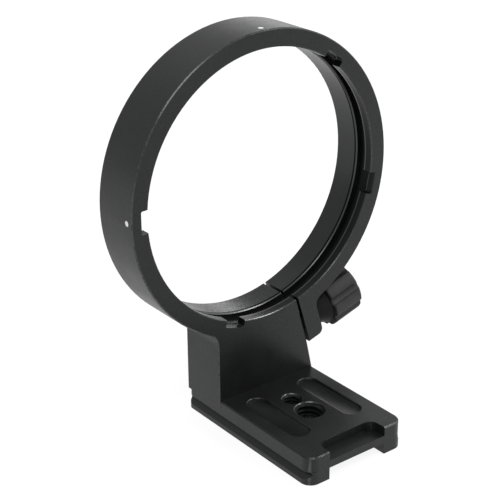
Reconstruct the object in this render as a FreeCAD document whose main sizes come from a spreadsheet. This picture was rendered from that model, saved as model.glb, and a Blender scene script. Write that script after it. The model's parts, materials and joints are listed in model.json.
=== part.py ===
import FreeCAD, Part
import math
import os
import Sketcher
from FreeCAD import Placement, Rotation, Vector

# A tripod collar for a long lens.
# The ring's axis is the Y axis and its mid-width is the origin, so the ring's front face looks along -Y.
# Below the ring stand a block and a foot plate with dovetail sides, and beside the block a clamping lug.
# A radial slit parts the lug from the block, and a knob on a threaded stud draws the two together.
# "Across" is measured square to the slit, towards the knob, and "down" along the slit, away from the axis.

# Driving dimensions, in millimetres and degrees
drivingSizes = [
    ("band_radius", 43.4, "clamping band that holds the lens"),
    ("ring_wall", 5.1, "from the band to the outside of the ring"),
    ("ring_width", 17.1, "width of the ring, block and lug along the axis"),
    ("edge_break", 0.35, "chamfer along the outline of the front and rear faces"),
    ("lip_height", 0.5, "front lip of the bore, in from the band"),
    ("lip_thickness", 3.2, "front lip of the bore, along the axis"),
    ("groove_depth", 1.6, "groove behind the front lip, out from the band"),
    ("groove_width", 4.4, "groove behind the front lip, along the axis"),
    ("shoulder_break", 0.3, "chamfer where the band starts"),
    ("score_setback", 0.6, "from the groove to the scored line in the band"),
    ("score_width", 0.3, "scored line round the band"),
    ("score_depth", 0.2, "scored line round the band"),
    ("bore_break", 0.25, "chamfer at both ends of the bore"),
    ("notch_width", 7.2, "notch in the front lip, across"),
    ("notch_overcut", 0.15, "depth of a notch past the groove's radius"),
    ("notch_corner", 0.6, "corner radius of a notch"),
    ("slit_angle", 16.7, "slit, from straight down towards the knob's side"),
    ("slit_width", 1.0, "gap between the block and the lug"),
    ("lug_end", 4.6, "from the stud's axis to the end of the lug"),
    ("lug_thickness", 6.3, "lug, from the slit's face to the knob's side"),
    ("lug_corner", 2.1, "outer corner of the lug"),
    ("lug_fillet", 3.0, "between the lug and the ring"),
    ("foot_width", 38.0, "over the dovetail flanges"),
    ("foot_length", 60.6, "along the axis"),
    ("foot_thickness", 9.3, "plate, top to bottom"),
    ("foot_front_corner", 3.6, "upright front corners of the plate"),
    ("foot_rear_corner", 2.0, "upright rear corners of the plate"),
    ("block_height", 18.9, "from the outside of the ring down to the plate's top"),
    ("foot_side_inset", 0.3, "upper sides of the plate, in from the flanges"),
    ("upper_side_height", 4.9, "upper sides of the plate"),
    ("neck_depth", 2.0, "dovetail neck, in from the flanges"),
    ("flange_edge", 1.6, "upright edge of the dovetail flanges"),
    ("foot_edge_break", 0.4, "chamfer round the plate's top"),
    ("block_fillet", 5.5, "between the block and the ring"),
    ("block_skirt", 2.3, "block's sides below the plate's top"),
    ("channel_width", 22.0, "channel along the underside"),
    ("channel_depth", 3.9, "channel along the underside"),
    ("step_width", 22.0, "step in the plate's front edge"),
    ("step_length", 6.0, "step in the plate's front edge"),
    ("step_depth", 2.9, "step in the plate's front edge"),
    ("step_corner", 3.0, "inner corners of the step"),
    ("slot_spacing", 20.8, "between the two shallow slots"),
    ("slot_width", 7.4, "shallow slots in the plate's top"),
    ("slot_length", 27.3, "shallow slots, end to end"),
    ("slot_setback", 4.7, "shallow slots, from the block"),
    ("slot_depth", 2.0, "shallow slots in the plate's top"),
    ("large_thread_radius", 4.76, "tripod thread, 3/8 inch"),
    ("large_thread_setback", 21.3, "tripod thread, from the block"),
    ("small_thread_radius", 3.175, "tripod thread, 1/4 inch"),
    ("small_thread_setback", 12.7, "tripod thread, from the block"),
    ("thread_countersink", 0.25, "mouth of both tripod threads"),
    ("dot_radius", 0.9, "white index dots"),
    ("dot_recess", 0.4, "depth of the dots' recesses"),
    ("dot_fill", 0.38, "thickness of the white fill"),
    ("dot_setback", 2.6, "index dots, from the ring's front face"),
    ("knob_gap", 0.4247, "between the knob's grip and the outside of the ring"),
    ("stud_radius", 2.5, "metric thread, 5 mm"),
    ("thread_clearance", 0.05, "stud in its tapped hole"),
    ("lug_hole_clearance", 0.25, "stud in the lug"),
    ("stud_engagement", 9.2, "stud in the block with the knob down"),
    ("stud_tip_space", 2.0, "tapped hole past the stud's end"),
    ("stud_tip_break", 0.6, "chamfer at the stud's end"),
    ("stud_in_knob", 12.0, "stud held by the knob"),
    ("washer_radius", 5.4, "washer under the knob"),
    ("washer_thickness", 0.8, "washer under the knob"),
    ("washer_clearance", 0.08, "washer on the stud"),
    ("hub_radius", 5.0, "knob's hub"),
    ("hub_length", 5.4, "knob's hub, washer to grip"),
    ("grip_radius", 9.25, "knob's grip over the lobes"),
    ("grip_length", 11.8, "knob's grip"),
    ("grip_outer_break", 1.1, "grip's outer edge"),
    ("grip_inner_break", 0.4, "grip's inner edge"),
    ("flute_radius", 1.5, "flutes between the lobes"),
    ("flute_depth", 1.1, "flutes between the lobes"),
    ("lobe_round", 0.5, "edges of the flutes"),
    ("flute_turn", 25.0, "place of the first flute"),
]

# Angles of the notches in the front lip, from +X towards +Z
notchAngles = [180.0, 53.5, -11.7, -106.3]
fluteCount = 8
doc = FreeCAD.newDocument("tripod_collar")


# Spreadsheet
def makeSheet():
    sheet = doc.addObject("Spreadsheet::Sheet", "size")
    for row, (alias, value, meaning) in enumerate(drivingSizes, start=1):
        sheet.set("A%d" % row, meaning)
        sheet.set("B%d" % row, str(value))
        sheet.setAlias("B%d" % row, alias)
    doc.recompute()
    return sheet


sheet = makeSheet()


def size(expression):
    return float(sheet.evalExpression(expression))


# Sizes that follow from the driving ones, as expressions on the sheet
ringOuter = "(size.band_radius + size.ring_wall)"
lipRadius = "(size.band_radius - size.lip_height)"
grooveRadius = "(size.band_radius + size.groove_depth)"
footDrop = "(" + ringOuter + " + size.block_height)"
lugSide = "(size.slit_width / 2 + size.lug_thickness)"
gripReach = "(" + lugSide + " + size.washer_thickness + size.hub_length)"
studDrop = "(sqrt(" + ringOuter + "^2 - " + gripReach + "^2) + size.grip_radius + size.knob_gap)"
lugReach = "(" + studDrop + " + size.lug_end)"


# Sketch helpers: every corner is a pair of expressions on the sheet, with a corner radius if it is rounded
def sketchOn(body, name, role, rise="0", turn="0", axis=Vector(0, 0, 1)):
    plane = [feature for feature in body.Origin.OriginFeatures if feature.Role == role][0]
    sketch = body.newObject("Sketcher::SketchObject", name)
    sketch.AttachmentSupport = [(plane, "")]
    sketch.MapMode = "FlatFace"
    sketch.AttachmentOffset = Placement(Vector(0, 0, size(rise)), Rotation(axis, size(turn)))
    sketch.setExpression(".AttachmentOffset.Base.z", rise)
    sketch.setExpression(".AttachmentOffset.Rotation.Angle", turn)
    return sketch


def placePoint(sketch, geometry, end, across, along):
    for kind, expression in (("DistanceX", across), ("DistanceY", along)):
        if expression == "0":
            axisLine = -2 if kind == "DistanceX" else -1
            sketch.addConstraint(Sketcher.Constraint("PointOnObject", geometry, end, axisLine))
            continue
        constraint = Sketcher.Constraint(kind, -1, 1, geometry, end, size(expression))
        index = sketch.addConstraint(constraint)
        sketch.setExpression("Constraints[%d]" % index, expression)


def drawOutline(sketch, corners):
    points = [Vector(size(corner[0]), size(corner[1]), 0) for corner in corners]
    count = len(points)
    trims = []
    for index, corner in enumerate(corners):
        before = (points[index - 1] - points[index]).normalize()
        after = (points[(index + 1) % count] - points[index]).normalize()
        if len(corner) == 2:
            trims.append((points[index], points[index], None))
            continue
        radius = size(corner[2])
        half = before.getAngle(after) / 2
        setback = radius / math.tan(half)
        centre = points[index] + (before + after).normalize() * (radius / math.sin(half))
        start = points[index] + before * setback
        end = points[index] + after * setback
        middle = centre + (points[index] - centre).normalize() * radius
        trims.append((start, end, Part.Arc(start, middle, end)))
    lines = []
    for index in range(count):
        start = trims[index][1]
        end = trims[(index + 1) % count][0]
        lines.append(sketch.addGeometry(Part.LineSegment(start, end), False))
    for index, corner in enumerate(corners):
        arriving = lines[index - 1]
        leaving = lines[index]
        if len(corner) == 2:
            sketch.addConstraint(Sketcher.Constraint("Coincident", arriving, 2, leaving, 1))
            placePoint(sketch, leaving, 1, corner[0], corner[1])
            continue
        arc = sketch.addGeometry(trims[index][2], False)
        arcStart, arcEnd = 1, 2
        if sketch.Geometry[arc].StartPoint.distanceToPoint(trims[index][0]) > 1e-6:
            arcStart, arcEnd = 2, 1
        sketch.addConstraint(Sketcher.Constraint("Tangent", arriving, 2, arc, arcStart))
        sketch.addConstraint(Sketcher.Constraint("Tangent", leaving, 1, arc, arcEnd))
        radiusIndex = sketch.addConstraint(Sketcher.Constraint("Radius", arc, size(corner[2])))
        sketch.setExpression("Constraints[%d]" % radiusIndex, corner[2])
        virtual = sketch.addGeometry(Part.Point(points[index]), True)
        sketch.addConstraint(Sketcher.Constraint("PointOnObject", virtual, 1, arriving))
        sketch.addConstraint(Sketcher.Constraint("PointOnObject", virtual, 1, leaving))
        placePoint(sketch, virtual, 1, corner[0], corner[1])


def drawCircle(sketch, across, along, radius):
    middle = Vector(size(across), size(along), 0)
    circle = sketch.addGeometry(Part.Circle(middle, Vector(0, 0, 1), size(radius)), False)
    placePoint(sketch, circle, 3, across, along)
    index = sketch.addConstraint(Sketcher.Constraint("Radius", circle, size(radius)))
    sketch.setExpression("Constraints[%d]" % index, radius)


def drawSlot(sketch, across, nearEnd, farEnd, radius):
    middleX, nearY, farY, reach = size(across), size(nearEnd), size(farEnd), size(radius)
    nearMiddle = Vector(middleX, nearY - reach, 0)
    farMiddle = Vector(middleX, farY + reach, 0)
    side = Vector(reach, 0, 0)
    tip = Vector(0, reach, 0)
    nearArc = sketch.addGeometry(Part.Arc(nearMiddle + side, nearMiddle + tip, nearMiddle - side), False)
    farArc = sketch.addGeometry(Part.Arc(farMiddle - side, farMiddle - tip, farMiddle + side), False)
    leftLine = sketch.addGeometry(Part.LineSegment(nearMiddle - side, farMiddle - side), False)
    rightLine = sketch.addGeometry(Part.LineSegment(farMiddle + side, nearMiddle + side), False)
    for arriving, leaving in ((nearArc, leftLine), (leftLine, farArc), (farArc, rightLine), (rightLine, nearArc)):
        sketch.addConstraint(Sketcher.Constraint("Tangent", arriving, 2, leaving, 1))
    index = sketch.addConstraint(Sketcher.Constraint("Radius", nearArc, reach))
    sketch.setExpression("Constraints[%d]" % index, radius)
    placePoint(sketch, nearArc, 3, across, nearEnd + " - " + radius)
    for kind, expression in (("DistanceX", across), ("DistanceY", farEnd + " + " + radius)):
        index = sketch.addConstraint(Sketcher.Constraint(kind, -1, 1, farArc, 3, size(expression)))
        sketch.setExpression("Constraints[%d]" % index, expression)


# Feature helpers
def pad(body, name, sketch, length, both=False, backwards=False):
    feature = body.newObject("PartDesign::Pad", name)
    feature.Profile = sketch
    feature.Midplane = both
    feature.Reversed = backwards
    feature.Length = size(length)
    feature.setExpression("Length", length)
    doc.recompute()
    return feature


def pocket(body, name, sketch, length, both=False, backwards=False):
    volumeBefore = body.Shape.Volume
    feature = body.newObject("PartDesign::Pocket", name)
    feature.Profile = sketch
    feature.Midplane = both
    feature.Reversed = backwards
    feature.Length = size(length)
    feature.setExpression("Length", length)
    doc.recompute()
    if body.Shape.Volume >= volumeBefore:
        raise ValueError(name + " cuts nothing")
    return feature


def turned(body, name, kind, sketch, line="V_Axis"):
    feature = body.newObject("PartDesign::" + kind, name)
    feature.Profile = sketch
    feature.ReferenceAxis = (sketch, [line])
    feature.Angle = 360
    doc.recompute()
    return feature


def dress(body, name, kind, amount, chosen):
    base = body.Tip
    edges = ["Edge%d" % (index + 1) for index, edge in enumerate(base.Shape.Edges) if chosen(edge)]
    if not edges:
        raise ValueError(name + " finds no edge")
    feature = body.newObject("PartDesign::" + kind, name)
    feature.Base = (base, edges)
    sizeName = "Radius" if kind == "Fillet" else "Size"
    setattr(feature, sizeName, size(amount))
    feature.setExpression(sizeName, amount)
    doc.recompute()
    return feature


def near(first, second, tolerance=1e-4):
    return abs(first - second) < tolerance


# Direction across the slit, for choosing edges
slitTurn = math.radians(size("size.slit_angle"))
acrossSlit = Vector(math.cos(slitTurn), 0, math.sin(slitTurn))


# Collar: ring, block, lug and foot plate, machined from one piece
def makeCollar():
    body = doc.addObject("PartDesign::Body", "collar_body")
    half = "size.foot_width / 2"
    rear = "size.ring_width / 2"
    front = "size.ring_width / 2 - size.foot_length"
    plateTop = "-" + footDrop
    underside = plateTop + " - size.foot_thickness"

    # Foot plate: its upper sides stand a little in from the flanges
    def plateOutline(name, rise, reach):
        profile = sketchOn(body, name + "_profile", "XY_Plane", rise=rise)
        drawOutline(profile, [
            ("-(" + reach + ")", front, "size.foot_front_corner"),
            (reach, front, "size.foot_front_corner"),
            (reach, rear, "size.foot_rear_corner"),
            ("-(" + reach + ")", rear, "size.foot_rear_corner"),
        ])
        return profile

    def onTop(edge):
        return near(edge.BoundBox.ZMin, size(plateTop)) and near(edge.BoundBox.ZMax, size(plateTop))

    pad(body, "plate", plateOutline("plate", plateTop, half + " - size.foot_side_inset"),
        "size.foot_thickness", backwards=True)
    dress(body, "plate_break", "Chamfer", "size.foot_edge_break", onTop)
    pad(body, "flanges", plateOutline("flanges", underside, half),
        "size.foot_thickness - size.upper_side_height")

    # Dovetail slopes and necks, cut along both sides
    flangeTop = underside + " + size.flange_edge"
    neck = half + " - size.neck_depth"
    outside = half + " + size.edge_break"
    for side, sign in (("left", "-"), ("right", "")):
        profile = sketchOn(body, side + "_neck_profile", "XZ_Plane")
        drawOutline(profile, [
            (sign + "(" + neck + ")", plateTop + " - size.upper_side_height"),
            (sign + "(" + outside + ")", plateTop + " - size.upper_side_height"),
            (sign + "(" + outside + ")", flangeTop + " - size.edge_break"),
            (sign + "(" + neck + ")", flangeTop + " + size.neck_depth"),
        ])
        pocket(body, side + "_neck", profile, "2 * size.foot_length", both=True)

    # Channel along the underside
    channelHalf = "size.channel_width / 2"
    profile = sketchOn(body, "channel_profile", "XZ_Plane")
    drawOutline(profile, [
        ("-" + channelHalf, underside + " - size.edge_break"),
        (channelHalf, underside + " - size.edge_break"),
        (channelHalf, underside + " + size.channel_depth"),
        ("-" + channelHalf, underside + " + size.channel_depth"),
    ])
    pocket(body, "channel", profile, "2 * size.foot_length", both=True)

    # Block on the plate, with its right side on the slit; its skirt runs down the plate's sides
    blockHeart = "(" + lipRadius + " / 2)"
    endX = lugReach + " * sin(size.slit_angle) - size.slit_width / 2 * cos(size.slit_angle)"
    endZ = "-" + lugReach + " * cos(size.slit_angle) - size.slit_width / 2 * sin(size.slit_angle)"
    profile = sketchOn(body, "block_profile", "XZ_Plane")
    drawOutline(profile, [
        ("-" + half, plateTop + " - size.block_skirt"),
        (half, plateTop + " - size.block_skirt"),
        (half, plateTop),
        (endX, endZ),
        (blockHeart + " * sin(size.slit_angle)", "-" + blockHeart + " * cos(size.slit_angle)"),
        ("-" + half, "-" + blockHeart),
    ])
    pad(body, "block", profile, "size.ring_width", both=True)

    # Ring, solid until the bore is cut
    profile = sketchOn(body, "ring_profile", "XY_Plane")
    drawOutline(profile, [
        ("0", "-size.ring_width / 2"),
        (ringOuter, "-size.ring_width / 2"),
        (ringOuter, "size.ring_width / 2"),
        ("0", "size.ring_width / 2"),
    ])
    turned(body, "ring_blank", "Revolution", profile)

    # Lug on the other side of the slit, drawn across and down
    profile = sketchOn(body, "lug_profile", "XZ_Plane", turn="size.slit_angle")
    drawOutline(profile, [
        ("0", "-" + blockHeart),
        ("0", "-" + lugReach),
        (lugSide, "-" + lugReach, "size.lug_corner"),
        (lugSide, "-" + blockHeart),
    ])
    pad(body, "lug", profile, "size.ring_width", both=True)

    # Fillets where the block and the lug leave the ring
    def onRing(edge):
        point = edge.CenterOfMass
        along = edge.BoundBox.YLength > size("size.ring_width") / 2
        return along and near(Vector(point.x, 0, point.z).Length, size(ringOuter))

    def blockRoot(edge):
        return onRing(edge) and near(edge.CenterOfMass.x, -size(half))

    def lugRoot(edge):
        return onRing(edge) and near(edge.CenterOfMass.dot(acrossSlit), size(lugSide))

    dress(body, "block_root", "Fillet", "size.block_fillet", blockRoot)
    dress(body, "lug_root", "Fillet", "size.lug_fillet", lugRoot)

    # Outline of the front and rear faces, broken all round
    def onOutline(edge):
        box = edge.BoundBox
        flat = box.YLength < 1e-4 and near(abs(edge.CenterOfMass.y), size("size.ring_width") / 2)
        return flat and box.ZMax > size(plateTop) + size("size.edge_break")

    dress(body, "outline_break", "Chamfer", "size.edge_break", onOutline)

    # Step in the plate's front edge
    stepHalf = "size.step_width / 2"
    profile = sketchOn(body, "step_profile", "XY_Plane", rise=plateTop)
    drawOutline(profile, [
        ("-" + stepHalf, front + " - size.step_length"),
        (stepHalf, front + " - size.step_length"),
        (stepHalf, front + " + size.step_length", "size.step_corner"),
        ("-" + stepHalf, front + " + size.step_length", "size.step_corner"),
    ])
    pocket(body, "step", profile, "size.step_depth")

    # Two shallow slots with round ends, one each side of the tripod threads
    blockFace = "-size.ring_width / 2"
    for side, sign in (("left", "-"), ("right", "")):
        middle = sign + "size.slot_spacing / 2"
        nearEnd = blockFace + " - size.slot_setback"
        farEnd = nearEnd + " - size.slot_length"
        profile = sketchOn(body, side + "_slot_profile", "XY_Plane", rise=plateTop)
        drawSlot(profile, middle, nearEnd, farEnd, "size.slot_width / 2")
        pocket(body, side + "_slot", profile, "size.slot_depth")

    # Tripod threads through the plate
    for name in ("large_thread", "small_thread"):
        profile = sketchOn(body, name + "_profile", "XY_Plane", rise=plateTop)
        drawCircle(profile, "0", blockFace + " - size." + name + "_setback", "size." + name + "_radius")
        pocket(body, name, profile, "size.foot_thickness")

    def threadMouth(edge):
        box = edge.BoundBox
        level = near(box.ZMin, size(plateTop)) and near(box.ZMax, size(plateTop))
        whole = near(box.XLength, box.YLength) and near(box.Center.x, 0)
        return level and whole

    dress(body, "thread_mouths", "Chamfer", "size.thread_countersink", threadMouth)

    # Bore, turned from both ends
    frontFace = "-size.ring_width / 2"
    lipBack = frontFace + " + size.lip_thickness"
    shoulder = lipBack + " + size.groove_width"
    score = shoulder + " + size.score_setback"
    profile = sketchOn(body, "bore_profile", "XY_Plane")
    drawOutline(profile, [
        ("0", frontFace + " - size.bore_break"),
        (lipRadius + " + 2 * size.bore_break", frontFace + " - size.bore_break"),
        (lipRadius, frontFace + " + size.bore_break"),
        (lipRadius, lipBack),
        (grooveRadius, lipBack),
        (grooveRadius, shoulder),
        ("size.band_radius + size.shoulder_break", shoulder),
        ("size.band_radius", shoulder + " + size.shoulder_break"),
        ("size.band_radius", score),
        ("size.band_radius + size.score_depth", score + " + size.score_width / 2"),
        ("size.band_radius", score + " + size.score_width"),
        ("size.band_radius", "size.ring_width / 2 - size.bore_break"),
        ("size.band_radius + 2 * size.bore_break", "size.ring_width / 2 + size.bore_break"),
        ("0", "size.ring_width / 2 + size.bore_break"),
    ])
    turned(body, "bore", "Groove", profile)

    # Notches in the front lip, which let the lens's tabs pass into the groove
    notchHalf = "size.notch_width / 2"
    notchFloor = grooveRadius + " + size.notch_overcut"
    for index, angle in enumerate(notchAngles, start=1):
        name = "notch_%d" % index
        profile = sketchOn(body, name + "_profile", "XZ_Plane", rise="size.ring_width / 2", turn=str(angle))
        drawOutline(profile, [
            (blockHeart, "-" + notchHalf),
            (notchFloor, "-" + notchHalf, "size.notch_corner"),
            (notchFloor, notchHalf, "size.notch_corner"),
            (blockHeart, notchHalf),
        ])
        pocket(body, name, profile, "size.lip_thickness")

    # Slit between the block and the lug, open at its lower end
    slitHalf = "size.slit_width / 2"
    slitEnd = "-" + lugReach + " - 2 * size.slit_width"
    profile = sketchOn(body, "slit_profile", "XZ_Plane", turn="size.slit_angle")
    drawOutline(profile, [
        ("-" + slitHalf, "-" + blockHeart),
        ("-" + slitHalf, slitEnd),
        (slitHalf, slitEnd),
        (slitHalf, "-" + blockHeart),
    ])
    pocket(body, "slit", profile, "2 * size.ring_width", both=True)

    # Tapped hole in the block and clearance hole in the lug, both square to the slit
    tilt = Vector(-1, 0, 0)
    profile = sketchOn(body, "tapped_hole_profile", "YZ_Plane", turn="size.slit_angle", axis=tilt)
    drawCircle(profile, "0", "-" + studDrop, "size.stud_radius + size.thread_clearance")
    tapDepth = "size.slit_width / 2 + size.stud_engagement + size.stud_tip_space"
    pocket(body, "tapped_hole", profile, tapDepth)
    profile = sketchOn(body, "lug_hole_profile", "YZ_Plane", turn="size.slit_angle", axis=tilt)
    drawCircle(profile, "0", "-" + studDrop, "size.stud_radius + size.lug_hole_clearance")
    pocket(body, "lug_hole", profile, lugSide + " + size.lug_thickness", backwards=True)

    # Recesses for the index dots: on top and on both sides
    dotPlace = frontFace + " + size.dot_setback"
    for name, role, rise, backwards in (
        ("top", "XY_Plane", ringOuter, False),
        ("left", "YZ_Plane", "-" + ringOuter, True),
        ("right", "YZ_Plane", ringOuter, False),
    ):
        profile = sketchOn(body, name + "_dot_profile", role, rise=rise)
        place = ("0", dotPlace) if role == "XY_Plane" else (dotPlace, "0")
        drawCircle(profile, place[0], place[1], "size.dot_radius")
        pocket(body, name + "_dot", profile, "size.dot_recess", backwards=backwards)
    return body


# Index dots: the white fill of the three recesses, three solids in one group
def makeDots():
    floorRadius = ringOuter + " - size.dot_recess"
    fills = []
    for name, axis, angle, direction in (
        ("top", Vector(0, 1, 0), 0, ("0", "1")),
        ("left", Vector(0, 1, 0), -90, ("-1", "0")),
        ("right", Vector(0, 1, 0), 90, ("1", "0")),
    ):
        fill = doc.addObject("Part::Cylinder", name + "_fill")
        fill.setExpression("Radius", "size.dot_radius")
        fill.setExpression("Height", "size.dot_fill")
        fill.Placement = Placement(Vector(0, 0, 0), Rotation(axis, angle))
        fill.setExpression(".Placement.Base.x", direction[0] + " * (" + floorRadius + ")")
        fill.setExpression(".Placement.Base.y", "-size.ring_width / 2 + size.dot_setback")
        fill.setExpression(".Placement.Base.z", direction[1] + " * (" + floorRadius + ")")
        fills.append(fill)
    group = doc.addObject("Part::Compound", "index_dots")
    group.Links = fills
    return group


# The knob, its stud and its washer are drawn round their own Z axis, from the washer's seat on the lug
def seatOnLug(item):
    item.Placement = Placement(Vector(0, 0, 0), Rotation(Vector(0, 1, 0), 90 - size("size.slit_angle")))
    item.setExpression(".Placement.Rotation.Angle", "90 - size.slit_angle")
    seatX = lugSide + " * cos(size.slit_angle) + " + studDrop + " * sin(size.slit_angle)"
    seatZ = lugSide + " * sin(size.slit_angle) - " + studDrop + " * cos(size.slit_angle)"
    item.setExpression(".Placement.Base.x", seatX)
    item.setExpression(".Placement.Base.z", seatZ)


# Washer between the knob's hub and the lug
def makeWasher():
    body = doc.addObject("PartDesign::Body", "knob_washer")
    profile = sketchOn(body, "washer_profile", "XY_Plane")
    drawCircle(profile, "0", "0", "size.washer_radius")
    drawCircle(profile, "0", "0", "size.stud_radius + size.washer_clearance")
    pad(body, "washer", profile, "size.washer_thickness")
    seatOnLug(body)
    return body


# Knob: hub and lobed grip, moulded round the stud
def makeKnob():
    body = doc.addObject("PartDesign::Body", "clamp_knob")
    hubStart = "size.washer_thickness"
    gripStart = hubStart + " + size.hub_length"
    gripEnd = gripStart + " + size.grip_length"
    bore = "size.stud_radius"
    boreEnd = hubStart + " + size.stud_in_knob"
    profile = sketchOn(body, "knob_profile", "XZ_Plane")
    drawOutline(profile, [
        (bore, hubStart),
        ("size.hub_radius", hubStart),
        ("size.hub_radius", gripStart),
        ("size.grip_radius - size.grip_inner_break", gripStart),
        ("size.grip_radius", gripStart + " + size.grip_inner_break"),
        ("size.grip_radius", gripEnd + " - size.grip_outer_break"),
        ("size.grip_radius - size.grip_outer_break", gripEnd),
        ("0", gripEnd),
        ("0", boreEnd),
        (bore, boreEnd),
    ])
    turned(body, "knob_blank", "Revolution", profile)

    # One flute, repeated round the grip
    profile = sketchOn(body, "flute_profile", "XY_Plane", rise=gripStart, turn="size.flute_turn")
    drawCircle(profile, "size.grip_radius - size.flute_depth + size.flute_radius", "0", "size.flute_radius")
    flute = pocket(body, "flute", profile, "size.grip_length", backwards=True)
    pattern = body.newObject("PartDesign::PolarPattern", "flutes")
    pattern.Originals = [flute]
    pattern.Axis = (profile, ["N_Axis"])
    pattern.Angle = 360
    pattern.Occurrences = fluteCount
    body.Tip = pattern
    doc.recompute()

    # Edges between the lobes and the flutes
    def lobeEdge(edge):
        box = edge.BoundBox
        upright = box.XLength < 1e-4 and box.YLength < 1e-4 and box.ZLength > size("size.grip_length") / 2
        return upright and near(Vector(box.Center.x, box.Center.y, 0).Length, size("size.grip_radius"), 1e-3)

    dress(body, "lobe_edges", "Fillet", "size.lobe_round", lobeEdge)
    seatOnLug(body)
    return body


# Stud: held by the knob, free in the lug and screwed into the block
def makeStud():
    body = doc.addObject("PartDesign::Body", "knob_stud")
    tip = "-size.lug_thickness - size.slit_width - size.stud_engagement"
    head = "size.washer_thickness + size.stud_in_knob"
    profile = sketchOn(body, "stud_profile", "XZ_Plane")
    drawOutline(profile, [
        ("0", tip),
        ("size.stud_radius - size.stud_tip_break", tip),
        ("size.stud_radius", tip + " + size.stud_tip_break"),
        ("size.stud_radius", head),
        ("0", head),
    ])
    turned(body, "stud", "Revolution", profile)
    seatOnLug(body)
    return body


nodes = [makeCollar(), makeDots(), makeWasher(), makeKnob(), makeStud()]
doc.recompute()

# Every object is sound before anything is written
for item in doc.Objects:
    if "Invalid" in item.State or "Error" in item.State:
        raise ValueError(item.Name + " failed to build")
for node in nodes:
    if node.Shape.isNull() or not node.Shape.isValid():
        raise ValueError(node.Label + " has no sound shape")

os.makedirs("parts", exist_ok=True)
for node in nodes:
    node.Shape.exportStep("parts/" + node.Label + ".step")
    box = node.Shape.BoundBox
    print(node.Label, len(node.Shape.Solids), "solids", round(node.Shape.Volume, 1), "cubic mm",
          [round(v, 2) for v in (box.XMin, box.YMin, box.ZMin, box.XMax, box.YMax, box.ZMax)])
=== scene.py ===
import json
import math

import bmesh
import bpy
from mathutils import Matrix, Vector


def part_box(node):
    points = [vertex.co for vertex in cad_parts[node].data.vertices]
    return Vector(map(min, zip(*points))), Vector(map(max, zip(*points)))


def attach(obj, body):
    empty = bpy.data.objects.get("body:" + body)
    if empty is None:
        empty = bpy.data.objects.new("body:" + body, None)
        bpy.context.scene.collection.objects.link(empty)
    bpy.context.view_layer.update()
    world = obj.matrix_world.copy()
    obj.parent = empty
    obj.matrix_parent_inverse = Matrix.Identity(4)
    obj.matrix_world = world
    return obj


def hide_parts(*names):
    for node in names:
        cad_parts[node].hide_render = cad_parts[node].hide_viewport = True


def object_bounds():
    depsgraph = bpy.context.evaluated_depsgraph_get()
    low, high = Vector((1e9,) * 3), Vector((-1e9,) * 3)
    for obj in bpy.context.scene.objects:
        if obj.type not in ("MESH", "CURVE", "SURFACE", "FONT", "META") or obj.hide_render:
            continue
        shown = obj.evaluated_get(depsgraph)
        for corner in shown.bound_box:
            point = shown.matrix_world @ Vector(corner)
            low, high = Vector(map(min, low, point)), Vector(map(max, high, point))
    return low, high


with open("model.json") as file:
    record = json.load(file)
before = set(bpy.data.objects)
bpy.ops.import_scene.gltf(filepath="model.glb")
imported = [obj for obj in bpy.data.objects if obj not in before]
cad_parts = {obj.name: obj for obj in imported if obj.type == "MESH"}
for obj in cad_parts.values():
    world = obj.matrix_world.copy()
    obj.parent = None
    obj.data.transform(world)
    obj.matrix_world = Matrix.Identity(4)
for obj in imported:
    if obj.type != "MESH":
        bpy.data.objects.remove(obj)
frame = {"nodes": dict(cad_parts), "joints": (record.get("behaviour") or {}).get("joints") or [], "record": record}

# A lens tripod collar in black satin aluminium. The CAD nodes are the fixed frame: metres, +Z up,
# the ring's axis along Y, and the foot standing on the floor.
mm = 0.001
cadBox = [list(corner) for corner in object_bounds()]
joints = {joint["name"]: joint for joint in frame["joints"]}
mounts = {mount["name"]: mount for mount in frame["record"]["mounts"]}
print("frame loaded:", ", ".join(sorted(frame["nodes"])))


# Node and mesh helpers
def newMaterial(name):
    material = bpy.data.materials.new(name)
    material.use_nodes = True
    tree = material.node_tree
    tree.nodes.clear()
    output = tree.nodes.new("ShaderNodeOutputMaterial")
    surface = tree.nodes.new("ShaderNodeBsdfPrincipled")
    tree.links.new(surface.outputs["BSDF"], output.inputs["Surface"])
    return material, tree, surface


def addNode(tree, kind, settings=None, inputs=None):
    node = tree.nodes.new(kind)
    for name, value in (settings or {}).items():
        setattr(node, name, value)
    for name, value in (inputs or {}).items():
        if isinstance(value, bpy.types.NodeSocket):
            tree.links.new(value, node.inputs[name])
        else:
            node.inputs[name].default_value = value
    return node


def objectPoint(tree):
    return addNode(tree, "ShaderNodeTexCoord").outputs["Object"]


def objectAxes(tree):
    return addNode(tree, "ShaderNodeSeparateXYZ", None, {0: objectPoint(tree)}).outputs


def noise(tree, grain, detail):
    inputs = {"Vector": objectPoint(tree), "Scale": 1 / grain, "Detail": detail}
    return addNode(tree, "ShaderNodeTexNoise", None, inputs).outputs["Fac"]


def mapRange(tree, value, fromLow, fromHigh, toLow, toHigh):
    inputs = {"Value": value, "From Min": fromLow, "From Max": fromHigh,
              "To Min": toLow, "To Max": toHigh}
    return addNode(tree, "ShaderNodeMapRange", {"clamp": True}, inputs).outputs["Result"]


# A mottled tone. In the dictionaries: noise grain and detail, part of its range, the two tones
def mottle(tree, grain, detail, low, high, first, second):
    return mapRange(tree, noise(tree, grain, detail), low, high, first, second)


def mixColour(tree, factor, first, second):
    node = addNode(tree, "ShaderNodeMix", {"data_type": "RGBA"})
    tree.links.new(factor, node.inputs["Factor"])
    for socket, value in ((node.inputs[6], first), (node.inputs[7], second)):
        if isinstance(value, bpy.types.NodeSocket):
            tree.links.new(value, socket)
        else:
            socket.default_value = (*value, 1)
    return node.outputs[2]


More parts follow.
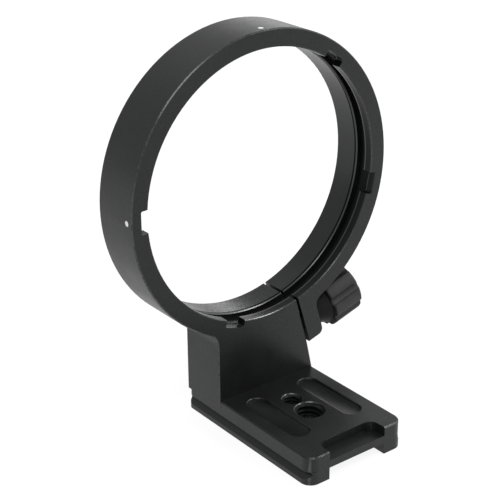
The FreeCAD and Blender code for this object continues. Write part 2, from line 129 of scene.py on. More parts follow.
def maths(tree, operation, first, second=0.0):
    node = addNode(tree, "ShaderNodeMath", {"operation": operation})
    for socket, value in ((node.inputs[0], first), (node.inputs[1], second)):
        if isinstance(value, bpy.types.NodeSocket):
            tree.links.new(value, socket)
        else:
            socket.default_value = value
    return node.outputs["Value"]


# How the shading softens and wears edges; on the collar the worn edges are partly a painted highlight
edgeLook = {
    "bevelSamples": 8,
    "opennessSamples": 6,
    "opennessReach": 4,  # times the bevel's radius
    "openness": (0.6, 0.9),  # in an inner corner, along an outer edge
    "turned": (0.3, 0.02),  # how far the normal turns on a worn edge and beside it
}


# The shading normal, rounded along outer edges and left sharp in inner corners
def roundedNormal(tree, radius):
    bevel = addNode(tree, "ShaderNodeBevel", {"samples": edgeLook["bevelSamples"]}, {"Radius": radius})
    plain = addNode(tree, "ShaderNodeNewGeometry").outputs["Normal"]
    settings = {"samples": edgeLook["opennessSamples"], "only_local": True}
    reach = {"Distance": edgeLook["opennessReach"] * radius}
    openness = addNode(tree, "ShaderNodeAmbientOcclusion", settings, reach).outputs["AO"]
    outer = mapRange(tree, openness, *edgeLook["openness"], 0, 1)
    normals = {0: outer, 4: plain, 5: bevel.outputs["Normal"]}
    mix = addNode(tree, "ShaderNodeMix", {"data_type": "VECTOR"}, normals)
    unit = addNode(tree, "ShaderNodeVectorMath", {"operation": "NORMALIZE"}, {0: mix.outputs[1]})
    return unit.outputs["Vector"]


def edgeMask(tree, rounded, sharpness):
    normal = addNode(tree, "ShaderNodeNewGeometry").outputs["Normal"]
    facing = addNode(tree, "ShaderNodeVectorMath", {"operation": "DOT_PRODUCT"}, {0: normal, 1: rounded})
    highlitAndWorn, plain = (1 - turned * sharpness for turned in edgeLook["turned"])
    return mapRange(tree, facing.outputs["Value"], highlitAndWorn, plain, 1, 0)


def bump(tree, height, depth, strength, normal=None):
    inputs = {"Height": height, "Distance": depth, "Strength": strength}
    if normal:
        inputs["Normal"] = normal
    return addNode(tree, "ShaderNodeBump", None, inputs).outputs["Normal"]


# A fine texture. In the dictionaries: noise grain and detail, depth, strength
def grainNormal(tree, grain, detail, depth, strength, normal=None):
    return bump(tree, noise(tree, grain, detail), depth, strength, normal)


# A closed skin over loops of corners, with a flat cap at both ends
def skinLoops(work, loops):
    for before, after in zip(loops, loops[1:]):
        for index in range(len(before)):
            follow = (index + 1) % len(before)
            work.faces.new((before[index], before[follow], after[follow], after[index]))
    work.faces.new(loops[0])
    work.faces.new(loops[-1])
    bmesh.ops.recalc_face_normals(work, faces=work.faces)


def finishPiece(work, name, material, body, smoothAngle):
    mesh = bpy.data.meshes.new(name)
    work.to_mesh(mesh)
    work.free()
    mesh.materials.append(material)
    for polygon in mesh.polygons:
        polygon.use_smooth = True
    piece = bpy.data.objects.new(name, mesh)
    bpy.context.scene.collection.objects.link(piece)
    mesh.set_sharp_from_angle(angle=math.radians(smoothAngle))
    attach(piece, body)
    return piece


# Camera, at the photograph's viewing point
cameraLook = {
    "place": (-0.23236, -0.30014, 0.14459),  # metres
    "azimuth": -37.76,  # degrees, from straight at the front face towards the left
    "elevation": 23.89,
    "roll": -0.39,
    "focalLength": 95.47,  # mm
    "sensorWidth": 36,
    "clip": (0.01, 20),  # metres
}


def makeCamera():
    azimuth = math.radians(cameraLook["azimuth"])
    elevation = math.radians(cameraLook["elevation"])
    roll = math.radians(cameraLook["roll"])
    back = Vector((math.sin(azimuth) * math.cos(elevation),
                   -math.cos(azimuth) * math.cos(elevation),
                   math.sin(elevation)))
    right = (-back).cross(Vector((0, 0, 1))).normalized()
    up = right.cross(-back)
    turnedRight = math.cos(roll) * right + math.sin(roll) * up
    turnedUp = -math.sin(roll) * right + math.cos(roll) * up
    data = bpy.data.cameras.new("photoCamera")
    data.sensor_width = cameraLook["sensorWidth"]
    data.lens = cameraLook["focalLength"]
    data.clip_start, data.clip_end = cameraLook["clip"]
    camera = bpy.data.objects.new("photoCamera", data)
    turn = Matrix((turnedRight, turnedUp, back)).transposed().to_4x4()
    camera.matrix_world = Matrix.Translation(Vector(cameraLook["place"])) @ turn
    bpy.context.scene.collection.objects.link(camera)
    bpy.context.scene.camera = camera


makeCamera()
print("camera placed")


# Light: a white surround, three soft lamps and a pale floor that keeps a faint shadow
studio = {
    "surroundLight": 0.6,  # what the object and its reflections see
    "background": 1.0,  # what the camera sees
    "floorColour": (0.86, 0.86, 0.86),
    "floorSpeckle": (4 * mm, 2, 0.3, 0.7, 0, 1),
    "floorSpeckleTone": 0.985,  # of the floor's colour
    "floorRoughness": 0.9,
    "floorGlow": 1.1,  # the floor's look to the camera
    "floorReflected": 0.92,  # and in reflections
    "floorShadow": 0.2,  # share of the floor's look that takes shadows
    "floorSize": 4.0,  # metres
    # dark floor under the foot: middle and half size along X and Y
    "footShade": ((0.0, 17.0 * mm), (-18.0 * mm, 25.5 * mm)),
    "footShadeBlur": 1.5 * mm,
    "lamps": {
        # name: (place, aimed at, width, height, strength in watts)
        "keyLamp": ((-0.30, -0.45, 0.65), (0, 0, 0), 0.50, 0.40, 2.0),
        "fillLamp": ((0.60, -0.30, 0.25), (0, 0, -0.02), 0.40, 0.50, 0.8),
        "topLamp": ((0.05, 0.25, 0.70), (0, 0, 0.02), 0.50, 0.30, 1.0),
        "backLamp": ((0.62, 0.72, 0.20), (0, 0, 0.04), 0.40, 0.16, 0.45),
        "rimLamp": ((0.45, -0.34, 0.52), (0, -0.02, -0.05), 0.20, 0.20, 1.3),
    },
}


def makeWorld():
    world = bpy.data.worlds.new("whiteSurround")
    world.use_nodes = True
    tree = world.node_tree
    tree.nodes.clear()
    toCamera = addNode(tree, "ShaderNodeLightPath").outputs["Is Camera Ray"]
    strength = mapRange(tree, toCamera, 0, 1, studio["surroundLight"], studio["background"])
    surround = addNode(tree, "ShaderNodeBackground", None, {"Color": (1, 1, 1, 1), "Strength": strength})
    output = addNode(tree, "ShaderNodeOutputWorld")
    tree.links.new(surround.outputs["Background"], output.inputs["Surface"])
    bpy.context.scene.world = world


def underFoot(tree):
    axes = objectAxes(tree)
    blur = studio["footShadeBlur"]
    inside = []
    for axis, (middle, reach) in zip("XY", studio["footShade"]):
        away = maths(tree, "ABSOLUTE", maths(tree, "SUBTRACT", axes[axis], middle))
        inside.append(mapRange(tree, away, reach - blur, reach + blur, 1, 0))
    return maths(tree, "MULTIPLY", inside[0], inside[1])


def makeFloor():
    half = studio["floorSize"] / 2
    height = cadBox[0][2]
    mesh = bpy.data.meshes.new("floor")
    corners = [(x * half, y * half, height) for x, y in ((-1, -1), (1, -1), (1, 1), (-1, 1))]
    mesh.from_pydata(corners, [], [(0, 1, 2, 3)])
    floor = bpy.data.objects.new("floor", mesh)
    bpy.context.scene.collection.objects.link(floor)
    material, tree, surface = newMaterial("paleFloor")
    speckle = mottle(tree, *studio["floorSpeckle"])
    darker = [channel * studio["floorSpeckleTone"] for channel in studio["floorColour"]]
    tree.links.new(mixColour(tree, speckle, studio["floorColour"], darker), surface.inputs["Base Color"])
    surface.inputs["Roughness"].default_value = studio["floorRoughness"]
    surface.inputs["Specular IOR Level"].default_value = 0.0
    path = addNode(tree, "ShaderNodeLightPath").outputs
    strength = mapRange(tree, path["Is Camera Ray"], 0, 1, studio["floorReflected"], studio["floorGlow"])
    glow = addNode(tree, "ShaderNodeEmission", None, {"Color": (1, 1, 1, 1), "Strength": strength})
    seen = maths(tree, "MAXIMUM", path["Is Camera Ray"], path["Is Glossy Ray"])
    shown = maths(tree, "MULTIPLY", seen, 1 - studio["floorShadow"])
    share = maths(tree, "MULTIPLY", shown, maths(tree, "SUBTRACT", 1.0, underFoot(tree)))
    mix = addNode(tree, "ShaderNodeMixShader", None, {0: share})
    tree.links.new(surface.outputs["BSDF"], mix.inputs[1])
    tree.links.new(glow.outputs["Emission"], mix.inputs[2])
    tree.links.new(mix.outputs["Shader"], tree.nodes["Material Output"].inputs["Surface"])
    mesh.materials.append(material)


def makeLamps():
    for name, (place, target, width, height, watts) in studio["lamps"].items():
        data = bpy.data.lights.new(name, "AREA")
        data.shape = "RECTANGLE"
        data.size = width
        data.size_y = height
        data.energy = watts
        lamp = bpy.data.objects.new(name, data)
        lamp.location = place
        lamp.rotation_euler = (Vector(target) - Vector(place)).to_track_quat("-Z", "Y").to_euler()
        bpy.context.scene.collection.objects.link(lamp)


makeWorld()
makeFloor()
makeLamps()
bpy.context.scene.view_settings.view_transform = "Standard"
print("studio lit")


# Black anodised aluminium of the collar, in four finishes
anodised = {
    "colour": (0.0030, 0.0034, 0.0032),
    "paler": (0.0055, 0.0060, 0.0058),
    "cloud": (14 * mm, 4),  # noise grain and detail
    "cloudShade": (0.35, 0.65, 0, 1),
    # wear and painted highlight: a lighter colour along broken edges
    "highlitAndWorn": (0.030, 0.031, 0.031),  # along the broken edges
    "patches": (1.1 * mm, 5),
    "highlightAndWear": (0.35, 0.6, 0.35, 1.0),
    # painted highlight: the rims take the worn colour almost all over
    "rimPaintedHighlightAndWear": (0.3, 0.6, 0.6, 1.0),
    "tint": (0.97, 1.0, 0.985, 1),  # of its reflections
    "refraction": 1.46,
    "satinReflection": (0.3 * mm, 4, 0.3, 0.7, 0.40, 0.60),
    # painted highlight: the rims reflect more strongly than the satin faces
    "rimPaintedReflection": (0.5 * mm, 3, 0.35, 0.6, 0.5, 1.0),
    "roughness": {
        "satin": (0.32, 0.42),
        "turned": (0.18, 0.26),
        "milled": (0.28, 0.38),
        "rim": (0.22, 0.30),
    },
    "patchShare": 0.5,  # of the patches in the roughness, beside the cloud
    "roughnessNoise": (0.55, 0.95),
    "edgeRadius": 0.09 * mm,
    "edgeSharpness": 0.4,
    "edgeSmoothing": 0.08,
    "texture": (0.07 * mm, 3, 0.006 * mm, 0.6),  # bead-blasted
    "lineDepth": (0.004 * mm, 0.5),  # of turning and milling lines, with their strength
    "turningPitch": 0.18 * mm,
    "millingPitch": 0.45 * mm,
    "millingBow": 60.0,
}

# How strongly the bore reflects along its axis: lip, groove, the scored line and the band. Painted shade darkens
# the lip's inner face towards the groove, the whole groove, and a dark line widened over the scored line. Painted
# highlights brighten the lip's rear edge and a thin ridge before the scored line. The band reflects plainly.
borePaintedShadeAndHighlight = {
    "span": 9.0 * mm,  # each side of mid-width
    "stops": [
        # (millimetres from mid-width, reflection)
        (-8.6, 0.50), (-8.2, 0.28), (-7.6, 0.15), (-5.90, 0.14), (-5.65, 0.9), (-5.37, 0.9),
        (-5.34, 0.07), (-1.0, 0.07), (-0.96, 1.0), (-0.55, 0.9), (-0.50, 0.03), (0.15, 0.03),
        (0.20, 0.50), (8.6, 0.50),
    ],
}


# Painted shade and painted highlight: the turned bore's reflection is set by where a point lies along the axis
def paintedBoreShadeAndHighlight(tree):
    span = borePaintedShadeAndHighlight["span"]
    along = mapRange(tree, objectAxes(tree)["Y"], -span, span, 0, 1)
    ramp = addNode(tree, "ShaderNodeValToRGB", None, {"Fac": along})
    stops = [((place * mm + span) / (2 * span), tone) for place, tone in borePaintedShadeAndHighlight["stops"]]
    elements = ramp.color_ramp.elements
    while len(elements) < len(stops):
        elements.new(0.5)
    for element, (place, tone) in zip(elements, stops):
        element.position = place
        element.color = (tone, tone, tone, 1)
    return ramp.outputs["Color"]


def satinReflection(tree):
    return mottle(tree, *anodised["satinReflection"])


def rimPaintedReflection(tree):
    return mottle(tree, *anodised["rimPaintedReflection"])


def makeAnodised(name, kind, lines=None, paintedLightAndReflection=None):
    material, tree, surface = newMaterial(name)
    rounded = roundedNormal(tree, anodised["edgeRadius"])
    cloud = noise(tree, *anodised["cloud"])
    patches = noise(tree, *anodised["patches"])
    # On a rim the worn colour covers the whole face as a painted highlight; elsewhere it follows worn edges,
    # partly as a painted highlight
    if kind == "rim":
        edge = mapRange(tree, patches, *anodised["rimPaintedHighlightAndWear"])
    else:
        edge = edgeMask(tree, rounded, anodised["edgeSharpness"])
    shade = mapRange(tree, cloud, *anodised["cloudShade"])
    body = mixColour(tree, shade, anodised["colour"], anodised["paler"])
    # the lighter edge colour is partly wear and partly a painted highlight
    highlightAndWear = maths(tree, "MULTIPLY", edge, mapRange(tree, patches, *anodised["highlightAndWear"]))
    tree.links.new(mixColour(tree, highlightAndWear, body, anodised["highlitAndWorn"]), surface.inputs["Base Color"])
    mixed = maths(tree, "MULTIPLY_ADD", patches, anodised["patchShare"])
    tree.links.new(cloud, mixed.node.inputs[2])
    roughness = mapRange(tree, mixed, *anodised["roughnessNoise"], *anodised["roughness"][kind])
    smoothing = maths(tree, "MULTIPLY", edge, anodised["edgeSmoothing"])
    tree.links.new(maths(tree, "SUBTRACT", roughness, smoothing), surface.inputs["Roughness"])
    surface.inputs["IOR"].default_value = anodised["refraction"]
    surface.inputs["Specular Tint"].default_value = anodised["tint"]
    # the reflection here is a random speckle on satin, and painted shade and painted highlight on the bore, rims
    # and threads
    if paintedLightAndReflection:
        tree.links.new(paintedLightAndReflection(tree), surface.inputs["Specular IOR Level"])
    normal = grainNormal(tree, *anodised["texture"], rounded)
    if lines:
        normal = bump(tree, lines(tree), *anodised["lineDepth"], normal)
    tree.links.new(normal, surface.inputs["Normal"])
    return material


def turningLines(tree):
    perMetre = 2 * math.pi / anodised["turningPitch"]
    return maths(tree, "SINE", maths(tree, "MULTIPLY", objectAxes(tree)["Y"], perMetre))


def millingLines(tree):
    axes = objectAxes(tree)
    bow = maths(tree, "MULTIPLY", maths(tree, "POWER", axes["X"], 2.0), anodised["millingBow"])
    travel = maths(tree, "ADD", axes["Y"], bow)
    return maths(tree, "SINE", maths(tree, "MULTIPLY", travel, 2 * math.pi / anodised["millingPitch"]))


# Which finish a face of the collar has: the bore is turned, the cuts in the foot are milled,
# and the outlines' chamfers and the thread mouths are a bright rim, a painted highlight
collarZones = {
    "boreRadius": 45.4 * mm,
    "footTop": -67.6 * mm,
    "footHalfWidth": 15.0 * mm,
    "mouthReach": 0.3 * mm,  # past a tripod thread's radius
    "mouthDrop": 0.1 * mm,  # below the foot's top
    "mouthSlope": (0.2, 0.9),  # how far up a thread mouth's face looks
    "outlineBreak": 8.2 * mm,  # chamfers of the front and rear outlines start here, from mid-width
    "breakSlope": (0.6, 0.8),  # how far along the ring's axis they look
    "square": 0.9,  # a face that looks further along an axis is square to it
}


def onThreadMouth(centre, normal):
    low, high = collarZones["mouthSlope"]
    if not low <= normal.z <= high or centre.z < collarZones["footTop"] - collarZones["mouthDrop"]:
        return False
    for name in ("large_tripod_thread", "small_tripod_thread"):
        place = Vector(mounts[name]["pos_m"])
        reach = mounts[name]["dims"]["r_mm"] * mm + collarZones["mouthReach"]
        if Vector((centre.x - place.x, centre.y - place.y)).length < reach:
            return True
    return False


def onOutlineBreak(centre, normal):
    low, high = collarZones["breakSlope"]
    return abs(centre.y) > collarZones["outlineBreak"] and low < abs(normal.y) < high


def finishOf(centre, normal):
    square = collarZones["square"]
    if onThreadMouth(centre, normal) or onOutlineBreak(centre, normal):
        return "rim"
    if Vector((centre.x, centre.z)).length < collarZones["boreRadius"] and abs(normal.y) < square:
        return "turned"
    inFoot = centre.z < collarZones["footTop"] and abs(centre.x) < collarZones["footHalfWidth"]
    return "milled" if inFoot and abs(normal.z) > square else "satin"


def dressCollar():
    collar = frame["nodes"]["collar_body"]
    collar.data.materials.clear()
    for material in finishes.values():
        collar.data.materials.append(material)
    order = list(finishes)
    for polygon in collar.data.polygons:
        polygon.material_index = order.index(finishOf(polygon.center, polygon.normal))


finishes = {
    "satin": makeAnodised("satinBlackAnodised", "satin", None, satinReflection),
    "turned": makeAnodised("turnedPaintedLightBlackAnodised", "turned", turningLines, paintedBoreShadeAndHighlight),
    "milled": makeAnodised("milledBlackAnodised", "milled", millingLines),
    "rim": makeAnodised("rimHighlitBlackAnodised", "rim", None, rimPaintedReflection),
}
dressCollar()
print("collar finished")


threadForm = {
    "flankAngle": 30,  # degrees, from square to the axis
    "flat": 0.125,  # of the pitch
    "weld": 1e-7,  # metres
}


# A thread's surface: a profile of (radius, height) points swept round the axis, cut flat at both ends
def sweepThread(profile, pitch, low, high, segments, closed):
    turns = math.ceil((high - low) / pitch) + 2
    work = bmesh.new()
    rows = []
    for step in range(turns * segments + 1):
        angle = 2 * math.pi * step / segments
        rise = low - pitch + pitch * step / segments
        rows.append([work.verts.new((radius * math.cos(angle), radius * math.sin(angle), rise + height))
                     for radius, height in profile])
    spans = len(profile) if closed else len(profile) - 1
    for before, after in zip(rows, rows[1:]):
        for index in range(spans):
            follow = (index + 1) % len(profile)
            work.faces.new((before[index], after[index], after[follow], before[follow]))
    if closed:
        work.faces.new(rows[0])
        work.faces.new(list(reversed(rows[-1])))
    bmesh.ops.remove_doubles(work, verts=work.verts, dist=threadForm["weld"])
    for level, direction in ((low, -1), (high, 1)):
        whole = work.verts[:] + work.edges[:] + work.faces[:]
        bmesh.ops.bisect_plane(work, geom=whole, plane_co=(0, 0, level),
                               plane_no=(0, 0, direction), clear_outer=True)
        if not closed:
            rim = [edge for edge in work.edges if edge.is_boundary
                   and all(abs(vert.co.z - level) < threadForm["weld"] for vert in edge.verts)]
            bmesh.ops.contextual_create(work, geom=rim)
    bmesh.ops.recalc_face_normals(work, faces=work.faces)
    return work


# Thread ridges inside the two tripod holes
tripodThreads = {
    # painted shade: a weak reflection darkens the threads in the holes
    "paintedLightAndReflection": (0.6 * mm, 3, 0.3, 0.7, 0.14, 0.30),
    "seating": 0.02 * mm,  # into the hole's wall
    "leadSlope": 2.2,  # how fast the ridges grow from both ends
    "smoothAngle": 25,
    "sizes": {
        "large": {"mount": "large_tripod_thread", "pitch": 1.5875 * mm, "depth": 0.86 * mm, "segments": 72},
        "small": {"mount": "small_tripod_thread", "pitch": 1.27 * mm, "depth": 0.69 * mm, "segments": 56},
    },
}


# Painted shade: the threads reflect less than the collar around them
def paintedThreadShade(tree):
    return mottle(tree, *tripodThreads["paintedLightAndReflection"])


def makeTripodThread(name, values, material):
    mount = mounts[values["mount"]]
    radius = mount["dims"]["r_mm"] * mm
    length = mount["dims"]["length_mm"] * mm
    pitch, depth = values["pitch"], values["depth"]
    flank = depth * math.tan(math.radians(threadForm["flankAngle"]))
    rootFlat = pitch * threadForm["flat"]
    seat = radius + tripodThreads["seating"]
    crest = radius - depth
    profile = [(seat, rootFlat), (crest, rootFlat + flank), (crest, pitch - flank), (seat, pitch)]
    work = sweepThread(profile, pitch, 0.0, length, values["segments"], True)
    for vert in work.verts:
        reach = Vector((vert.co.x, vert.co.y)).length
        taper = seat - tripodThreads["leadSlope"] * min(vert.co.z, length - vert.co.z)
        if reach < taper:
            vert.co.x *= taper / reach
            vert.co.y *= taper / reach
    work.transform(Matrix.Translation(Vector(mount["pos_m"])))
    finishPiece(work, name + "TripodThread", material, "collar",
                tripodThreads["smoothAngle"])


threadBlack = makeAnodised("threadPaintedShadeBlackAnodised", "satin", None, paintedThreadShade)
for threadName, threadValues in tripodThreads["sizes"].items():
    makeTripodThread(threadName, threadValues, threadBlack)
print("tripod threads cut")


# Finished floors of the two long slots, with a broken rim
slots = {
    "top": -67.4 * mm,
    "spacing": 20.8 * mm,
    "width": 7.4 * mm,
    "start": -13.25 * mm,
    "length": 27.3 * mm,
    # (inset from the slot's outline, drop from the plate's top) in millimetres
    "levels": [(0.02, 1.96), (0.02, 0.005), (0.24, 0.22), (0.25, 0.58), (0.30, 0.67), (0.40, 0.71)],
    "segments": 28,  # of each round end
    "smoothAngle": 35,
}


def slotLoop(middle, inset, height):
    radius = slots["width"] / 2
    ends = ((slots["start"] - radius, 0), (slots["start"] - slots["length"] + radius, math.pi))
    loop = []
    for centre, startAngle in ends:
        for step in range(slots["segments"] + 1):
            angle = startAngle + math.pi * step / slots["segments"]
            reach = radius - inset
            loop.append((middle + reach * math.cos(angle), centre + reach * math.sin(angle), height))
    return loop


def makeSlotFloors():
    work = bmesh.new()
    for side in (-1, 1):
        middle = side * slots["spacing"] / 2
        loops = []
        for inset, drop in slots["levels"]:
            points = slotLoop(middle, inset * mm, slots["top"] - drop * mm)
            loops.append([work.verts.new(point) for point in points])
        skinLoops(work, loops)
    finishPiece(work, "slotFloors", finishes["milled"], "collar", slots["smoothAngle"])


makeSlotFloors()
print("slots finished")


# White enamel in the index recesses, slightly crowned
enamel = {
    "colour": (0.86, 0.86, 0.84),
    "soiled": (0.62, 0.61, 0.58),
    "soil": (0.35 * mm, 4, 0.5, 0.75, 0, 0.5),
    "roughness": (0.2 * mm, 3, 0.3, 0.7, 0.35, 0.55),
    "texture": (0.12 * mm, 3, 0.01 * mm, 0.5),
    "radius": 0.88 * mm,
    "base": 48.12 * mm,  # from the ring's axis
    "rim": 48.44 * mm,
    "crown": 48.485 * mm,
    "crownPower": 4,  # how flat the crown's middle is
    "rings": 8,
    "segments": 40,
    "smoothAngle": 50,
}


def makeEnamel():
    material, tree, surface = newMaterial("whiteEnamel")
    soil = mottle(tree, *enamel["soil"])
    tree.links.new(mixColour(tree, soil, enamel["colour"], enamel["soiled"]), surface.inputs["Base Color"])
    tree.links.new(mottle(tree, *enamel["roughness"]), surface.inputs["Roughness"])
    tree.links.new(grainNormal(tree, *enamel["texture"]), surface.inputs["Normal"])
    return material


def makeDots(material):
    low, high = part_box("index_dots")
    across = (low.y + high.y) / 2
    along = Vector((0, 1, 0))
    angles = [2 * math.pi * step / enamel["segments"] for step in range(enamel["segments"])]
    levels = [(enamel["radius"], enamel["base"])]
    for ring in range(enamel["rings"]):
        share = 1 - ring / enamel["rings"]
        rise = (enamel["crown"] - enamel["rim"]) * (1 - share ** enamel["crownPower"])
        levels.append((enamel["radius"] * share, enamel["rim"] + rise))
    work = bmesh.new()
    for outward in (Vector((0, 0, 1)), Vector((-1, 0, 0)), Vector((1, 0, 0))):
        side = outward.cross(along)
        loops = []
        for reach, height in levels:
            points = [outward * height + along * (across + reach * math.cos(angle))
                      + side * reach * math.sin(angle) for angle in angles]
            loops.append([work.verts.new(point) for point in points])
        skinLoops(work, loops)
    piece = finishPiece(work, "enamelDots", material, "collar", enamel["smoothAngle"])
    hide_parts("index_dots")


makeDots(makeEnamel())
print("index dots filled")


# The knob's own frame: its axis runs square to the slit, from the washer's seat on the lug
def knobFrame():
    joint = joints["knob_turn"]
    across = Vector(joint["axis"]).normalized()
    along = Vector((0, 1, 0))
    down = along.cross(across)
    turn = Matrix((down, along, across)).transposed().to_4x4()
    return Matrix.Translation(Vector(joint["pos_m"])) @ turn


# Knob: hub and lobed grip, moulded in one
knob = {
    "colour": (0.011, 0.011, 0.0112),
    "paler": (0.017, 0.017, 0.0173),
    "cloud": (5 * mm, 4, 0.35, 0.65, 0, 1),
    # painted shade: the hub reflects far less than the grip, standing in for the lug's shadow
    "paintedLightAndReflection": (0.10, 0.5),  # hub, grip
    "gripFade": (0.1 * mm, 0.8 * mm),  # where one turns into the other, past the grip's start
    "refraction": 1.5,
    "roughness": (0.8 * mm, 4, 0.3, 0.7, 0.46, 0.58),
    "texture": (0.16 * mm, 3, 0.012 * mm, 0.6),
    "edgeRadius": 0.2 * mm,
    "boreRadius": 2.5 * mm,
    "boreEnd": 12.8 * mm,
    "boreBreak": 0.15 * mm,
    "hubStart": 0.8 * mm,
    "hubRadius": 5.5 * mm,
    "hubBreak": 0.3 * mm,
    "flareStart": 1.8 * mm,
    "skirtRadius": 7.7 * mm,
    "skirtLedge": 0.05 * mm,
    "gripStart": 6.2 * mm,
    "gripEnd": 18.0 * mm,
    "gripRadius": 9.25 * mm,
    "outerBreak": 1.1 * mm,
    "innerBreak": 0.7 * mm,
    "innerFlute": 0.3,  # of the inner break, that a flute cuts deeper at the grip's inner face
    "fluteCount": 8,
    "fluteRadius": 1.5 * mm,
    "fluteDepth": 1.1 * mm,
    "fluteTurn": 25.0,  # degrees
    "noFlute": 1.2,  # times the grip's radius, between the flutes
    "softness": 0.16 * mm,  # rounding between flutes and lobes
    "segments": 256,
    "rows": {"hub": 4, "face": 6, "inner": 5, "wall": 12, "outer": 10},
    "capRings": (0.9, 0.75, 0.5, 0.25),  # of the cap's radius
    "smoothAngle": 40,
}


def knobHeight(tree):
    joint = joints["knob_turn"]
    across = Vector(joint["axis"]).normalized()
    inputs = {0: objectPoint(tree), 1: across}
    along = addNode(tree, "ShaderNodeVectorMath", {"operation": "DOT_PRODUCT"}, inputs).outputs["Value"]
    return maths(tree, "SUBTRACT", along, across.dot(Vector(joint["pos_m"])))


def makeKnobPlastic():
    material, tree, surface = newMaterial("mouldedKnobPlastic")
    rounded = roundedNormal(tree, knob["edgeRadius"])
    cloud = mottle(tree, *knob["cloud"])
    tree.links.new(mixColour(tree, cloud, knob["colour"], knob["paler"]), surface.inputs["Base Color"])
    tree.links.new(mottle(tree, *knob["roughness"]), surface.inputs["Roughness"])
    tree.links.new(grainNormal(tree, *knob["texture"], rounded), surface.inputs["Normal"])
    surface.inputs["IOR"].default_value = knob["refraction"]
    # Painted shade on the hub, fading into the grip's plain reflection
    fadeStart, fadeEnd = (knob["gripStart"] + fade for fade in knob["gripFade"])
    tone = mapRange(tree, knobHeight(tree), fadeStart, fadeEnd, *knob["paintedLightAndReflection"])
    tree.links.new(tone, surface.inputs["Specular IOR Level"])
    return material


def smoothLower(first, second, softness):
    return -softness * math.log(math.exp(-first / softness) + math.exp(-second / softness))


def flutedRadius(angle):
    step = 2 * math.pi / knob["fluteCount"]
    offset = (angle - math.radians(knob["fluteTurn"]) + step / 2) % step - step / 2
    middle = knob["gripRadius"] - knob["fluteDepth"] + knob["fluteRadius"]
    reach = middle * math.cos(offset)
    inside = knob["fluteRadius"] ** 2 - (middle * math.sin(offset)) ** 2
    if inside <= 0:
        return knob["gripRadius"] * knob["noFlute"]
    return reach - math.sqrt(inside)


def quarter(centreRadius, centreHeight, radius, startAngle, endAngle, steps):
    arc = []
    for step in range(steps + 1):
        angle = math.radians(startAngle + (endAngle - startAngle) * step / steps)
        arc.append((centreRadius + radius * math.cos(angle), centreHeight + radius * math.sin(angle)))
    return arc


# Half section: from the bore's end over the hub, its flare and the grip to the cap's middle
def knobProfile():
    bore, hub, skirt, grip = (knob[name + "Radius"] for name in ("bore", "hub", "skirt", "grip"))
    boreBreak, hubBreak, inner, outer = (knob[name + "Break"] for name in ("bore", "hub", "inner", "outer"))
    hubStart, start, end = knob["hubStart"], knob["gripStart"], knob["gripEnd"]
    rows, ledge = knob["rows"], skirt + knob["skirtLedge"]
    profile = [(bore, knob["boreEnd"]), (bore, hubStart + boreBreak), (bore + boreBreak, hubStart)]
    profile += quarter(hub - hubBreak, hubStart + hubBreak, hubBreak, -90, 0, rows["hub"])
    profile += [(hub, knob["flareStart"]), (skirt, start - hubBreak)]
    for row in range(rows["face"] + 1):
        profile.append((ledge + (grip - inner - ledge) * row / rows["face"], start))
    profile += quarter(grip - inner, start + inner, inner, -90, 0, rows["inner"])[1:]
    wallStart, wallEnd = start + inner, end - outer
    for row in range(1, rows["wall"]):
        profile.append((grip, wallStart + (wallEnd - wallStart) * row / rows["wall"]))
    profile += quarter(grip - outer, end - outer, outer, 0, 90, rows["outer"])
    return profile + [((grip - outer) * share, end) for share in knob["capRings"]]


def makeKnob(material):
    skirt, rim = knob["skirtRadius"], knob["gripRadius"] - knob["innerBreak"]
    work = bmesh.new()
    loops = []
    for radius, height in knobProfile():
        loop = []
        for step in range(knob["segments"]):
            angle = 2 * math.pi * step / knob["segments"]
            reach = radius
            if height >= knob["gripStart"] and radius > skirt:
                fluted = smoothLower(knob["gripRadius"], flutedRadius(angle), knob["softness"])
                if height == knob["gripStart"]:
                    edge = min(rim, fluted - knob["innerBreak"] * knob["innerFlute"])
                    reach = skirt + (edge - skirt) * (radius - skirt) / (rim - skirt)
                else:
                    reach = smoothLower(radius, fluted, knob["softness"] / 2)
            loop.append(work.verts.new((reach * math.cos(angle), reach * math.sin(angle), height)))
        loops.append(loop)
    skinLoops(work, loops)
    work.transform(knobFrame())
    piece = finishPiece(work, "knobGrip", material, "knob", knob["smoothAngle"])
    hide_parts("clamp_knob")


makeKnob(makeKnobPlastic())
print("knob moulded")


# Stud: zinc plated steel with a rolled metric thread
stud = {
    "colour": (0.42, 0.42, 0.43),
    "darker": (0.30, 0.30, 0.31),
    "stain": (1.5 * mm, 5, 0.4, 0.65, 0, 1),
    "roughness": (0.25 * mm, 4, 0.3, 0.7, 0.28, 0.45),
    "scratches": (0.08 * mm, 3, 0.004 * mm, 0.5),
    "radius": 2.5 * mm,
    "rootRadius": 2.02 * mm,
    "pitch": 0.8 * mm,
    "tip": -16.5 * mm,
    "tipBreak": 0.6 * mm,
    "head": 12.8 * mm,
    "segments": 48,
    "smoothAngle": 25,
}


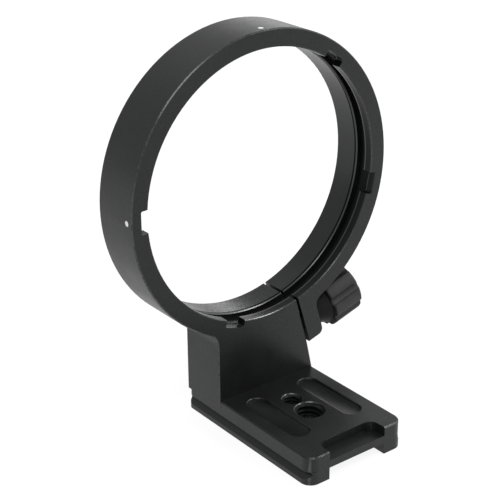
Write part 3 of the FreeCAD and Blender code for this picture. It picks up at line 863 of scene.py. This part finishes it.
def makeSteel():
    material, tree, surface = newMaterial("platedSteel")
    surface.inputs["Metallic"].default_value = 1.0
    stain = mottle(tree, *stud["stain"])
    tree.links.new(mixColour(tree, stain, stud["colour"], stud["darker"]), surface.inputs["Base Color"])
    tree.links.new(mottle(tree, *stud["roughness"]), surface.inputs["Roughness"])
    tree.links.new(grainNormal(tree, *stud["scratches"]), surface.inputs["Normal"])
    return material


def makeStud(material):
    root, crest, pitch = stud["rootRadius"], stud["radius"], stud["pitch"]
    flank = (crest - root) * math.tan(math.radians(threadForm["flankAngle"]))
    crestFlat = pitch * threadForm["flat"]
    rootFlat = pitch - crestFlat - 2 * flank
    profile = [(root, 0), (root, rootFlat), (crest, rootFlat + flank),
               (crest, rootFlat + flank + crestFlat), (root, pitch)]
    work = sweepThread(profile, pitch, stud["tip"], stud["head"], stud["segments"], False)
    for vert in work.verts:
        limit = crest - stud["tipBreak"] + vert.co.z - stud["tip"]
        reach = Vector((vert.co.x, vert.co.y)).length
        if reach > limit:
            vert.co.x *= limit / reach
            vert.co.y *= limit / reach
    work.transform(knobFrame())
    piece = finishPiece(work, "threadedStud", material, "knob", stud["smoothAngle"])
    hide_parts("knob_stud")


makeStud(makeSteel())
print("stud threaded")


# Washer: smooth black nylon
nylon = {
    "colour": (0.018, 0.018, 0.018),
    "rubbed": (0.05, 0.05, 0.05),
    "roughness": (0.9 * mm, 4, 0.3, 0.7, 0.3, 0.42),
    "texture": (0.2 * mm, 3, 0.008 * mm, 0.5),
    "edgeRadius": 0.12 * mm,
    "edgeSharpness": 0.5,
}


def dressWasher():
    material, tree, surface = newMaterial("blackNylon")
    rounded = roundedNormal(tree, nylon["edgeRadius"])
    edge = edgeMask(tree, rounded, nylon["edgeSharpness"])
    tree.links.new(mixColour(tree, edge, nylon["colour"], nylon["rubbed"]), surface.inputs["Base Color"])
    tree.links.new(mottle(tree, *nylon["roughness"]), surface.inputs["Roughness"])
    tree.links.new(grainNormal(tree, *nylon["texture"], rounded), surface.inputs["Normal"])
    washer = frame["nodes"]["knob_washer"]
    washer.data.materials.clear()
    washer.data.materials.append(material)


dressWasher()
print("washer dressed")
